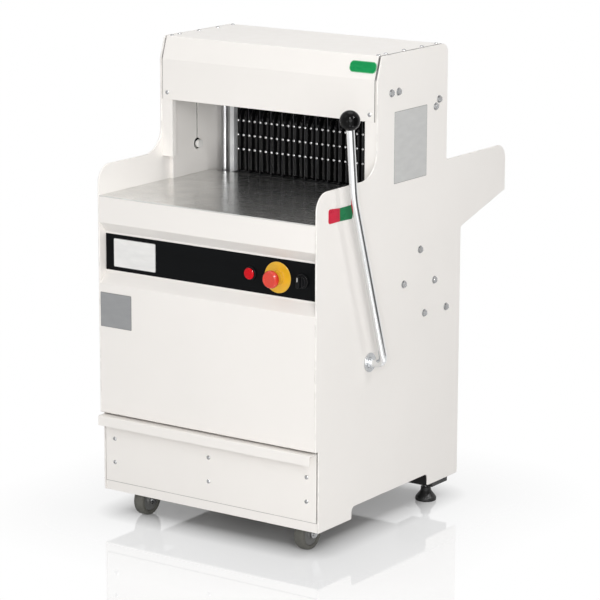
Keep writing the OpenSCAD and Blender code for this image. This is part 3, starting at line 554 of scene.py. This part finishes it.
index_white = film("white_index_paint", (0.8, 0.8, 0.78), 0.4)
line_size, line_arris, line_rise = Vector((0.0016, 0.0006, 0.009)), 0.00015, 6.5
line_middle = spot(selector_x, 0.25, control_z + line_rise)
index_shape = bmesh.new()
bmesh.ops.create_cube(index_shape, size=1.0)
bmesh.ops.scale(index_shape, verts=index_shape.verts, vec=line_size)
bmesh.ops.translate(index_shape, verts=index_shape.verts, vec=line_middle)
bmesh.ops.bevel(index_shape, geom=index_shape.edges[:], offset=line_arris, segments=1, affect="EDGES")
index_line = new_piece("selector_index_line", mesh_of("selector_index", index_shape), index_white)
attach(index_line, "selector")

# Plates: blank film plates with round corners and a thin printed rim, pressed on: one on the strip, one under
# it, one on the right panel and a green one on the brow. The lever's zone scale is half red, half green.


corner_signs = ((-1, -1), (1, -1), (1, 1), (-1, 1))


def oblong(width, height, corner):
    """Corners of a rectangle about its middle, each with its radius."""
    return [(sx * width / 2, sy * height / 2, corner) for sx, sy in corner_signs]


def loft(shape, rings):
    """Walls from each ring of vertices to the next and a cap on both ends; returns the last cap."""
    for low, high in zip(rings, rings[1:]):
        for k in range(len(low)):
            n = (k + 1) % len(low)
            shape.faces.new([low[k], low[n], high[n], high[k]])
    shape.faces.new(rings[0][::-1])
    cap = shape.faces.new(rings[-1])
    bmesh.ops.recalc_face_normals(shape, faces=shape.faces)
    return cap


def plate(name, node, middle, across, up, corners, rim, face_film, rim_film):
    """A thin plate: an outline of [x, y, radius] corners, a printed rim at its edge and a bare field."""
    rise, corner_steps = 0.8, 6
    across, up = Vector(across).normalized(), Vector(up).normalized()
    out = across.cross(up)
    middle = spot(*middle)
    flat = [Vector((x, y)) for x, y, r in corners]
    outline = []
    for k, (x, y, r) in enumerate(corners):
        before, after = flat[k - 1] - flat[k], flat[(k + 1) % len(flat)] - flat[k]
        half = before.angle(after) / 2
        start = flat[k] + before.normalized() * r / math.tan(half)
        end = flat[k] + after.normalized() * r / math.tan(half)
        hub = flat[k] + (before.normalized() + after.normalized()).normalized() * r / math.sin(half)
        for step in range(corner_steps + 1 if r else 1):
            ray = (start - hub).lerp(end - hub, step / corner_steps)
            outline.append(hub + ray.normalized() * r if r else flat[k])
    places = [middle + (across * p.x + up * p.y) / 1000 for p in outline]
    shape = bmesh.new()
    back = [shape.verts.new(p) for p in places]
    front = [shape.verts.new(p + out * rise / 1000) for p in places]
    field = loft(shape, [back, front])
    for face in bmesh.ops.inset_region(shape, faces=[field], thickness=rim / 1000)["faces"]:
        face.material_index = 1
    return stands_for(new_piece(name, mesh_of(name, shape), face_film, rim_film), node)


badge_film = film("blank_badge_film", (0.82, 0.815, 0.8), 0.3)
rating_film = film("blank_rating_foil", (0.32, 0.325, 0.33), 0.36, 0.35)
notice_film = film("blank_notice_film", (0.57, 0.57, 0.56), 0.35)
grey_print = film("grey_rim_print", (0.2, 0.2, 0.2), 0.4)
brow_green = film("green_plate_film", (0.01, 0.29, 0.085), 0.22, gloss=0.1)
pale_green = film("pale_green_rim", (0.16, 0.5, 0.26), 0.25, gloss=0.15)
zone_red = film("red_zone_film", (0.6, 0.016, 0.05), 0.25, gloss=0.12)
zone_green = film("green_zone_film", (0.006, 0.18, 0.062), 0.25, gloss=0.1)

brow_tilt = math.atan2(52, 17)
brow_up = (0, math.cos(brow_tilt), math.sin(brow_tilt))
plate("badge_plate", "bare_plates", (-212.5, strip_y, control_z), to_right, upwards,
      oblong(119, 66, 3), 0.8, badge_film, grey_print)
plate("rating_plate", "bare_plates", (-250, 0, 497), to_right, upwards,
      oblong(88, 80, 1.5), 1.0, rating_film, grey_print)
plate("notice_plate", "bare_plates", (panel_face, 372, 885), to_rear, upwards,
      oblong(135, 162, 1.5), 0.9, notice_film, grey_print)
plate("brow_plate", "green_plates", (256, 243.5, 1070), to_right, brow_up,
      oblong(70, 26, 10), 1.4, brow_green, pale_green)
zone_line, zone_rim = (panel_face, 88, 755), 0.4
rear_half = [(0, 0, 0), (50, -2, 5), (48, 29, 5), (0, 29, 0)]
front_half = [(-43, 0, 6), (0, 0, 0), (0, 29, 0), (-43, 33, 6)]
plate("zone_scale_green", "green_plates", zone_line, to_rear, upwards,
      rear_half, zone_rim, zone_green, zone_green)
plate("zone_scale_red", "red_zone_plate", zone_line, to_rear, upwards,
      front_half, zone_rim, zone_red, zone_red)

# Tables: 2 mm stainless sheet, brushed across the machine: a table before the blades, a tray behind them.
# A slotted black bridge of machined plastic stands between the two.
brushed = ground("brushed_stainless_table", (0.78, 0.778, 0.765), 0.16, (3, 130, 130))
bridge_black = moulded("machined_bridge_plastic", (0.02, 0.02, 0.021), 0.38)
table_arris = 0.0004
edged("front_table", table_arris, brushed)
edged("rear_tray", table_arris, brushed)
edged("blade_bridge", table_arris, bridge_black)

# Motor and drive: a finned motor on a grey cross member turns the crankshaft through a V-belt.
# Opposed eccentrics carry the connecting rods of the two blade frames.
enamel = powder_coat("blue_grey_motor_enamel", (0.13, 0.17, 0.2))
primer = powder_coat("grey_shelf_primer", (0.36, 0.365, 0.365))
shaft_steel = ground("turned_shaft_steel", (0.58, 0.59, 0.6), 0.22, (160, 12, 12))


def rubber(name, colour, roughness):
    soft = Finish(name, {"Specular IOR Level": 0.35})
    bloom = soft.grain(32.0, 4.0)
    fine = soft.grain(700.0, 3.0)
    soft.feed("Base Color", soft.tint(soft.span(bloom, 0.35, 0.7), shade(colour, 0.8), shade(colour, 1.15)))
    soft.feed("Roughness", roughness + 0.15 * bloom)
    soft.relief(fine, 0.12, 0.0003)
    return soft.material


belt_rubber = rubber("black_belt_rubber", (0.016, 0.016, 0.016), 0.6)
edged("motor_body", machined_arris, enamel)
edged("motor_shelf", fold_arris, primer)
dressed(belt_rubber, "drive_belt")
dressed(shaft_steel, "crankshaft", "motor_rotor")
for casting in ("large_pulley", "conrods_a", "conrods_b"):
    edged(casting, machined_arris, iron)

# Slot shade sheets: flat black sheets in the hollows behind the liners, slipped over the knobs' stems from
# above.
# They are a painted shade that keeps the keyhole slots dark, and are seen through the slots only.
slot_shade_black = rubber("black_sponge_rubber", (0.008, 0.008, 0.008), 0.7)
knob_y, knob_z = 360, 830
shade_sheet_half, shade_sheet_top, shade_sheet_front, shade_sheet_back = 18, 958, 288.4, 292.4
stem_half, arch_steps = 6.3, 12
shade_sheet_low = knob_z - shade_sheet_half
arch = [math.pi * k / arch_steps for k in range(arch_steps + 1)]
shade_sheet_outline = [(knob_y - stem_half * math.cos(a), knob_z + stem_half * math.sin(a)) for a in arch]
shade_sheet_outline += [(knob_y + stem_half, shade_sheet_low), (knob_y + shade_sheet_half, shade_sheet_low)]
shade_sheet_outline += [(knob_y + shade_sheet_half, shade_sheet_top), (knob_y - shade_sheet_half, shade_sheet_top)]
shade_sheet_outline += [(knob_y - shade_sheet_half, shade_sheet_low), (knob_y - stem_half, shade_sheet_low)]
shade_sheet_shape = bmesh.new()
for side in (-1, 1):
    loft(shade_sheet_shape, [[shade_sheet_shape.verts.new(spot(side * x, y, z)) for y, z in shade_sheet_outline]
                      for x in (shade_sheet_front, shade_sheet_back)])
shade_sheet_piece = new_piece("slot_shade_sheets", mesh_of("slot_shade_sheets", shade_sheet_shape), slot_shade_black)
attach(shade_sheet_piece, "cabinet")

# Blade frames: two blasted aluminium frames that slide on the columns in opposite directions.
# Each holds every second blade: a thin oiled steel strip, set on end, with a bevelled and scalloped edge.
frame_metal = ground("blasted_frame_aluminium", (0.82, 0.83, 0.84), 0.42, (8, 60, 60), 0.35)
blade_steel = ground("oiled_blade_steel", (0.12, 0.12, 0.125), 0.3, (1, 90, 90))
edged("blade_frame_a", machined_arris, frame_metal)
edged("blade_frame_b", machined_arris, frame_metal)

row = Build("pieces_in_a_row", {"Count": "NodeSocketInt", "Pitch": length})
line = {"Count": row.size("Count"), "Offset": row.vector(row.size("Pitch"), 0.0, 0.0)}
line = row.node("GeometryNodeMeshLine", {"mode": "OFFSET"}, line)
row.finish(row.node("GeometryNodeInstanceOnPoints", None, {"Points": line, "Instance": row.given}))


def scalloped_blade(name, first_x, plane_y, low, high):
    """One blade in millimetres: flat back, ground bevel and a wavy cutting edge."""
    pitch, deep, wide, thick, bevel, keen, steps = 14.0, 2.5, 14.0, 1.0, 3.0, 0.16, 6
    rows = int((high - low) / pitch * steps)
    shape = bmesh.new()
    sections = []
    for k in range(rows + 1):
        z = low + (high - low) * k / rows
        edge_y = plane_y + wide / 2 - deep * math.cos(math.pi * (z - low) / pitch) ** 2
        across = ((plane_y - wide / 2, thick), (edge_y - bevel, thick), (edge_y, keen))
        right = [(first_x + t / 2, y, z) for y, t in across]
        left = [(first_x - t / 2, y, z) for y, t in across[::-1]]
        sections.append([shape.verts.new(spot(*p)) for p in right + left])
    loft(shape, sections)
    return mesh_of(name, shape)


blade_low, blade_high = 705, 985
for letter, plane_y, rise, first_x in (("a", 432, 20, -216), ("b", 458, -20, -200)):
    first = scalloped_blade("first_blade_" + letter, first_x, plane_y, blade_low + rise, blade_high + rise)
    sizes = {"Count": 14, "Pitch": 0.032, "Material": blade_steel}
    stands_for(row.piece("scalloped_blades_" + letter, first, sizes), "blades_" + letter)

# Lever: an 18 mm rod in satin chrome, bent at the panel and again below the hand run, with a black ball knob.
# It turns a cross shaft in flanged bushes, and two forked arms on that shaft move the pusher.
chrome = plated("satin_chrome", (0.76, 0.765, 0.77), 0.13, 0.03)
knob_black = moulded("polished_knob_plastic", (0.003, 0.003, 0.003), 0.03, gloss=0.1, wear=0.02)


def swept(name, path, radius, material, sides=40):
    """A round rod along a path of points in metres."""
    shape = bmesh.new()
    ahead = (path[1] - path[0]).normalized()
    side = ahead.orthogonal().normalized()
    rings = []
    for k, place in enumerate(path):
        way = (path[min(k + 1, len(path) - 1)] - path[max(k - 1, 0)]).normalized()
        side = (ahead.rotation_difference(way) @ side).normalized()
        ahead = way
        other = ahead.cross(side)
        turns = [2 * math.pi * n / sides for n in range(sides)]
        ring = [place + radius * (side * math.cos(a) + other * math.sin(a)) for a in turns]
        rings.append([shape.verts.new(p) for p in ring])
    loft(shape, rings)
    return new_piece(name, smooth(mesh_of(name, shape), 40), material)


def bent(corners, reaches, steps=12):
    """A path through corners, each inner one turned into a smooth bend."""
    out = [corners[0]]
    for a, b, c, reach in zip(corners, corners[1:], corners[2:], reaches):
        start = b + (a - b).normalized() * reach
        end = b + (c - b).normalized() * reach
        for k in range(steps + 1):
            t = k / steps
            out.append(start.lerp(b, t).lerp(b.lerp(end, t), t))
    return [*out, corners[-1]]


lean, upright = math.radians(18), math.radians(6)
lever_y, lever_z, stub_x, rod_x = 212, 414, 306, 340
lower_run, hand_run, rod_r, rod_end = 0.415, 0.175, 0.009, 0.0185
pivot = spot(rod_x, lever_y, lever_z)
run = Vector((0, -math.sin(lean), math.cos(lean)))
hand = Vector((0, -math.sin(upright), math.cos(upright)))
bend = pivot + run * lower_run
ball = bend + hand * hand_run
rod_path = [spot(stub_x, lever_y, lever_z), pivot, bend, ball - hand * rod_end]
rod_path = bent(rod_path, [0.026, 0.022])
stands_for(swept("chromed_lever", rod_path, rod_r, chrome), "lever_rod")
ball_r, bore_r, bore_end, mouth_end, round_start, ball_steps = 22.5, 9.02, -18.6, -20.6, -20.4, 28
start_turn = math.acos(round_start / ball_r)
turns = [start_turn * (1 - k / ball_steps) for k in range(1, ball_steps + 1)]
ball_profile = [(0, bore_end), (bore_r, bore_end), (bore_r, mouth_end)]
ball_profile += [(ball_r * math.sin(a), ball_r * math.cos(a)) for a in turns[:-1]] + [(0, ball_r)]
stands_for(lathe("ball_knob", ball_profile, ball, hand, knob_black), "lever_knob")
edged("lever_bushes", machined_arris, shaft_steel, 3)
dressed(shaft_steel, "cross_shaft")
edged("lever_arms", machined_arris, column_steel)

# Pusher: black plastic fingers that stand between the blades, strung on three tie rods before a steel back.
# Each finger has bright round studs in its front edge, and two bars under the tray carry the whole wall.
finger_black = moulded("polished_finger_plastic", (0.006, 0.006, 0.0065), 0.14, gloss=0.25)
finger_count, finger_pitch, first_finger_x, finger_front = 27, 16, -208, 420
finger_section = [(508, 764), (508, 930), (462, 930), (444, 923), (427, 907), (421, 893)]
finger_section += [(finger_front, 880), (finger_front, 768), (424, 764)]


def finger(name, thick, arris):
    """The first finger of the wall: its section between two flanks, with all its corners rounded."""
    shape = bmesh.new()
    flanks = (first_finger_x - thick / 2, first_finger_x + thick / 2)
    loft(shape, [[shape.verts.new(spot(x, y, z)) for y, z in finger_section] for x in flanks])
    hard = [e for e in shape.edges if e.calc_face_angle() > math.radians(60)]
    bmesh.ops.bevel(shape, geom=hard, offset=arris, segments=3, profile=0.5, affect="EDGES")
    return mesh_of(name, shape)


sizes = {"Count": finger_count, "Pitch": finger_pitch / 1000, "Material": finger_black}
first = finger("first_finger", 7.0, 0.0014)
stands_for(row.piece("pusher_finger_wall", first, sizes), "pusher_fingers")

stud = Build("round_studs", {"Radius": length, "Length": length})
radius, reach = stud.size("Radius"), stud.size("Length")
nose_rise = 0.6 * radius
straight = reach - nose_rise
shank = {"Vertices": 16, "Radius": radius, "Depth": straight}
shank = stud.node("GeometryNodeMeshCylinder", {"fill_type": "NGON"}, shank)
shank = stud.moved(shank, {"Translation": stud.vector(0.0, 0.0, 0.5 * straight)})
nose = stud.node("GeometryNodeMeshUVSphere", None, {"Segments": 16, "Rings": 10, "Radius": 1.0})
nose = stud.moved(nose, {"Scale": stud.vector(radius, radius, nose_rise),
                         "Translation": stud.vector(0.0, 0.0, straight)})
stud.finish(stud.on_points(stud.cut("UNION", shank, [nose])))
finger_middles = [finger_pitch * k + first_finger_x for k in range(finger_count)]
stud_rows = (817, 851, 885)
stud_places = [((x, finger_front, z), forward) for x in finger_middles for z in stud_rows]
stud_steel = plated("polished_stud_steel", (0.6, 0.6, 0.61), 0.12)
stud_sizes = {"Radius": 0.0035, "Length": 0.006, "Material": stud_steel}
stands_for(stud.piece("finger_stud_heads", points("finger_studs", stud_places), stud_sizes), "finger_studs")
edged("pusher_frame", machined_arris, column_steel)
edged("pusher_bars", machined_arris, column_steel)

# Crumb drawer: a stainless tray behind a white folded front, whose lip is the pull.
# Six pan-head screws hold the front to the tray.
edged("crumb_tray", table_arris, brushed)
edged("drawer_front", fold_arris, white_coat)
drawer_face = 12
drawer_places = [((x, drawer_face, z), forward) for x in (-268, 0, 268) for z in (134, 190)]
drawer_points = points("drawer_screws", drawer_places)
stands_for(pan_head.piece("drawer_screw_heads", drawer_points, screw_sizes), "drawer_screws")

# Casters: zinc-plated plates and pressed forks under the front corners, with grey rubber tyres on hubs.
# A bolt through each fork is the axle, and the fork turns on the plate's kingpin.
tyre_grey = rubber("grey_tyre_rubber", (0.12, 0.118, 0.104), 0.5)
hub_plastic = moulded("grey_hub_plastic", (0.16, 0.16, 0.155), 0.4)
edged("caster_plates", fold_arris, zinc)
fork_arris, wheel_y, wheel_r, tyre_from = 0.0005, 78, 37.5, 27
wheel = [(4.05, -14), (11.4, -14), (12.6, -11), (13.6, -10), (26, -10), (27.4, -12.4), (28.5, -13), (33, -13)]
tread = [(33, -13), (35.6, -11.6), (37, -8.6), (37.5, -4), (37.5, 4), (37, 8.6), (35.6, 11.6), (33, 13)]
wheel_path = wheel + tread[1:-1] + [(r, -h) for r, h in wheel[::-1]] + [(4.05, -14)]
rubber_rows = [1 if max(a[0], b[0]) > tyre_from else 0 for a, b in zip(wheel_path, wheel_path[1:])]
for side, x in (("left", -226), ("right", 226)):
    edged(side + "_caster_fork", fork_arris, zinc)
    turned = lathe(side + "_tyred_wheel", wheel_path, spot(x, wheel_y, wheel_r), to_right,
                   hub_plastic, tyre_grey, sides=64, bands=rubber_rows)
    stands_for(turned, side + "_caster_wheel")

# Levelling feet: black blocks under the rear corners, zinc threaded stems with lock nuts, black rubber pads.
# The pads are moulded as low cones around the stems' heads.
block_paint = powder_coat("black_block_paint", (0.012, 0.012, 0.012))
pad_rubber = rubber("black_pad_rubber", (0.012, 0.012, 0.012), 0.42)
edged("foot_brackets", cast_arris, block_paint)
edged("foot_stems", fine_arris, zinc)
foot_y, pad_round = 548, 2.5
pad = [(0, 0), (23.5, 0), (25, 1.5), (25, 8), (13.5, 23), (12, 26), (12, 34), (0, 34)]
both = bmesh.new()
for x in (-244, 244):
    one = lathe("one_pad", rounded(pad, pad_round), spot(x, foot_y, 0), upwards)
    both.from_mesh(one.data)
    bpy.data.objects.remove(one)
pads = new_piece("levelling_pads", smooth(mesh_of("levelling_pads", both)), pad_rubber)
stands_for(pads, "foot_pads")

# Studio: a pale glossy floor that keeps the shadow under the cabinet and fades to white around it, with a
# faint mirror image. Soft lamps stand in front, at the right and above; flags and cards that give no light
# are there for the bright metal to reflect. The camera stands some six metres away, just under two high.
floor_reach, no_offset = 40.0, (0.0, 0.0, 0.0)
shadow_middle, shadow_half = (-0.05, -0.05, 0.0), (0.24, 0.25, 0.0)
near_end, far_end, near_share, mirror_share = 0.1, 0.4, 0.8, 0.18
floor_corners = [(sx * floor_reach, sy * floor_reach, 0) for sx, sy in corner_signs]
floor_mesh = bpy.data.meshes.new("floor")
floor_mesh.from_pydata(floor_corners, [], [(0, 1, 2, 3)])
floor_constants = {"Base Color": (0.7, 0.7, 0.7, 1.0), "Roughness": 0.05, "Specular IOR Level": 0.5}
floor_paint = Finish("pale_studio_floor", floor_constants)


def shown_straight(bench):
    """1 for what the camera sees, also in metal or through a lens, and 0 for light on its way."""
    ray = bench.node("ShaderNodeLightPath", output="Is Camera Ray")
    shown = ray.maths("MAXIMUM", ray, ray.out("Is Glossy Ray"))
    return shown.maths("MAXIMUM", shown, ray.out("Is Transmission Ray"))


apart = floor_paint.place()
for operation, other in (("SUBTRACT", shadow_middle), ("ABSOLUTE", None),
                         ("SUBTRACT", shadow_half), ("MAXIMUM", no_offset)):
    sockets = {0: apart} if other is None else {0: apart, 1: other}
    apart = floor_paint.node("ShaderNodeVectorMath", {"operation": operation}, sockets)
far = floor_paint.node("ShaderNodeVectorMath", {"operation": "LENGTH"}, {0: apart}, "Value")
fade = floor_paint.span(far, 0.0, near_end, 0.0, near_share)
fade = fade + floor_paint.span(far, near_end, far_end, 0.0, 1 - near_share)
share = shown_straight(floor_paint) * fade
glow = floor_paint.node("ShaderNodeEmission", None, {"Color": (1, 1, 1, 1), "Strength": 1.0})
mirror = floor_paint.node("ShaderNodeBsdfGlossy", None, {"Color": (1, 1, 1, 1), "Roughness": 0.04})
glow = floor_paint.node("ShaderNodeMixShader", None, {0: mirror_share, 1: glow, 2: mirror})
shader_out = Signal(floor_paint, floor_paint.shader.outputs[0])
mixed = floor_paint.node("ShaderNodeMixShader", None, {0: share, 1: shader_out, 2: glow})
floor_paint.tree.links.new(mixed.socket, floor_paint.tree.nodes["Material Output"].inputs["Surface"])
floor = new_piece("studio_floor", floor_mesh, floor_paint.material)

world = bpy.data.worlds.new("studio_world")
world.use_nodes = True
bpy.context.scene.world = world
room = Bench(world.node_tree)
room_light = 0.36
sky = world.node_tree.nodes["Background"]
sky.inputs["Color"].default_value = (1, 1, 1, 1)
sky_strength = room_light + (1 - room_light) * shown_straight(room)
world.node_tree.links.new(sky_strength.socket, sky.inputs["Strength"])


def soft_lamp(name, place, target, watts, size):
    """A round soft lamp; watts and metres."""
    lamp = bpy.data.lights.new(name, "AREA")
    lamp.energy = watts
    lamp.shape = "DISK"
    lamp.size = size
    stand = bpy.data.objects.new(name, lamp)
    stand.location = place
    aim = Vector(target) - Vector(place)
    stand.rotation_euler = aim.to_track_quat("-Z", "Y").to_euler()
    bpy.context.scene.collection.objects.link(stand)


waist = (0, 0, 0.6)
soft_lamp("front_left_lamp", (-1.6, -2.6, 4.2), waist, 14, 2.6)
soft_lamp("front_lamp", (0.6, -4.8, 0.9), (0, 0, 0.5), 15, 1.6)
soft_lamp("right_lamp", (3.7, -4.2, 1.8), (0, 0, 0.85), 172, 3.4)
soft_lamp("eye_lamp", (2.4, -3.3, 3.6), waist, 16, 0.7)
soft_lamp("side_lamp", (2.9, -0.3, 3.6), waist, 22, 0.7)
soft_lamp("top_lamp", (0.0, 0.4, 4.2), waist, 34, 2.4)


def card(name, corners, strength):
    """A flat card that only reflections see, and which gives no light."""
    mesh = bpy.data.meshes.new(name)
    mesh.from_pydata(corners, [], [tuple(range(len(corners)))])
    black, white_light = (0.0, 0.0, 0.0, 1.0), (1.0, 1.0, 1.0, 1.0)
    constants = {"Base Color": black, "Specular IOR Level": 0.0, "Emission Strength": strength}
    paper = Finish(name + "_paper", constants)
    bounced = paper.node("ShaderNodeLightPath", output="Diffuse Depth")
    bounced = bounced.maths("MINIMUM", bounced, 1.0)
    paper.feed("Emission Color", paper.tint(bounced, white_light, black))
    sheet = new_piece(name, mesh, paper.material)
    for ray in ("camera", "diffuse", "transmission", "volume_scatter", "shadow"):
        setattr(sheet, "visible_" + ray, False)


dark, bright, card_half = 0.14, 160.0, 0.3
flag_x, flag_front, flag_back, flag_top, flag_lift = 3.4, -1.0, 2.3, 3.0, 0.01
right_corners = [(flag_front, 0), (flag_back, 0), (flag_back, flag_top), (flag_front, flag_top)]
card("right_flag", [(flag_x, y, z) for y, z in right_corners], dark)
low_corners = [(1.15, -0.3), (flag_x, flag_front), (flag_x, flag_back), (1.15, 1.0)]
card("floor_flag", [(x, y, flag_lift) for x, y in low_corners], dark)
for name, (x, y, z) in (("eye_card", (2.3, -3.2, 3.5)), ("side_card", (3.3, -0.4, 3.0))):
    card(name, [(x + sx * card_half, y + sy * card_half, z) for sx, sy in corner_signs], bright)

eye = Vector((3.52969, -5.17958, 1.9373))
yaw, pitch, roll = (math.radians(a) for a in (34.57, 13.03, 0.19))
ahead = Vector((-math.sin(yaw) * math.cos(pitch), math.cos(yaw) * math.cos(pitch), -math.sin(pitch)))
right = Vector((math.cos(yaw), math.sin(yaw), 0))
above = right.cross(ahead)
level_right = right * math.cos(roll) + above * math.sin(roll)
level_up = above * math.cos(roll) - right * math.sin(roll)
lens_data = bpy.data.cameras.new("photo_camera")
lens_data.sensor_width = 36
lens_data.lens = 165.57
lens_data.clip_end = 200
camera = bpy.data.objects.new("photo_camera", lens_data)
turn = Matrix((level_right, level_up, -ahead)).transposed().to_4x4()
camera.matrix_world = Matrix.Translation(eye) @ turn
bpy.context.scene.collection.objects.link(camera)
bpy.context.scene.camera = camera
bpy.context.scene.view_settings.view_transform = "Standard"
